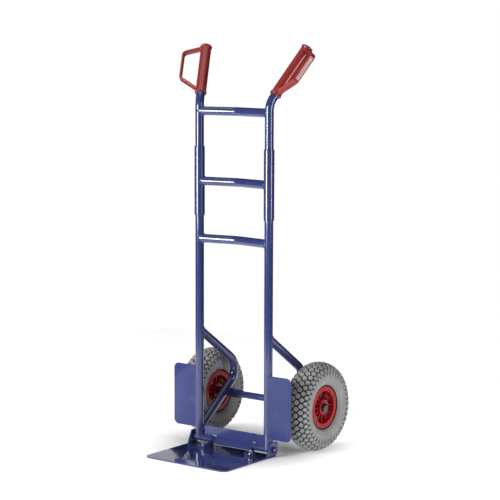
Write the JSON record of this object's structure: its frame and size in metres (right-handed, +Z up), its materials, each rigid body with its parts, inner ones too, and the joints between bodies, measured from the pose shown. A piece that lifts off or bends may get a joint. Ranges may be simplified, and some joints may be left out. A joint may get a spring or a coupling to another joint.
{
  "type": "hand truck",
  "caption": "Steel-tube hand truck with pneumatic wheels, guarded handle grips, wheel guards and a toe plate that folds up against the rails.",
  "frame": {"origin": "on the floor, in the middle of the truck's length and width", "axes": "+Z up, -Y towards the toe plate's tip, +X along the axle"},
  "size_m": [0.473, 0.504, 1.1759],
  "materials": {
    "blue_paint": "gloss",
    "red_plastic": "gloss",
    "red_rim": "satin",
    "grey_tyre": "matt",
    "tube_rubber": "matt",
    "black_plastic": "matt",
    "bearing_steel": "ground",
    "zinc": "zinc plated"
  },
  "bodies": {
    "frame": {"lower_rail_left": "blue_paint", "upper_rail_left": "blue_paint", "joint_sleeve_left": "blue_paint", "axle_strut_left": "blue_paint", "axle_collar_left": "blue_paint", "wheel_guard_left": "blue_paint", "hinge_barrel_left": "blue_paint", "grip_left": "red_plastic", "wheel_spacer_left": "blue_paint", "hub_washer_left": "zinc", "hub_cap_left": "zinc", "lower_rail_right": "blue_paint", "upper_rail_right": "blue_paint", "joint_sleeve_right": "blue_paint", "axle_strut_right": "blue_paint", "axle_collar_right": "blue_paint", "wheel_guard_right": "blue_paint", "hinge_barrel_right": "blue_paint", "grip_right": "red_plastic", "wheel_spacer_right": "blue_paint", "hub_washer_right": "zinc", "hub_cap_right": "zinc", "crossbar_upper": "blue_paint", "crossbar_middle": "blue_paint", "crossbar_lower": "blue_paint", "axle": "blue_paint", "kick_plate": "blue_paint"},
    "toe": {"toe_plate": "blue_paint", "hinge_bracket_left": "blue_paint", "hinge_bracket_right": "blue_paint", "pivot_bolt_left": "blue_paint", "pivot_bolt_right": "blue_paint", "bracket_screws": "zinc", "bracket_washers": "zinc", "bracket_nuts": "zinc", "pivot_washers": "blue_paint", "pivot_nuts": "blue_paint"},
    "wheel_left": {"tyre_left": "grey_tyre", "inner_tube_left": "tube_rubber", "rim_outer_left": "red_rim", "rim_inner_left": "red_rim", "valve_stem_left": "tube_rubber", "valve_cap_left": "black_plastic", "rim_screws_left": "zinc", "rim_nuts_left": "zinc", "bearing_cage_left": "black_plastic", "bearing_rollers_left": "bearing_steel"},
    "wheel_right": {"tyre_right": "grey_tyre", "inner_tube_right": "tube_rubber", "rim_outer_right": "red_rim", "rim_inner_right": "red_rim", "valve_stem_right": "tube_rubber", "valve_cap_right": "black_plastic", "rim_screws_right": "zinc", "rim_nuts_right": "zinc", "bearing_cage_right": "black_plastic", "bearing_rollers_right": "bearing_steel"}
  },
  "joints": [
    {"name": "wheel_left_spin", "type": "hinge", "parent": "frame", "child": "wheel_left", "pos_m": [-0.1937, 0.122, 0.13], "axis": [1, 0, 0], "continuous": true},
    {"name": "wheel_right_spin", "type": "hinge", "parent": "frame", "child": "wheel_right", "pos_m": [0.1937, 0.122, 0.13], "axis": [1, 0, 0], "continuous": true},
    {"name": "toe_fold", "type": "hinge", "parent": "frame", "child": "toe", "pos_m": [0, -0.022, 0.02], "axis": [-1, 0, 0], "range_deg": [0, 90]}
  ]
}
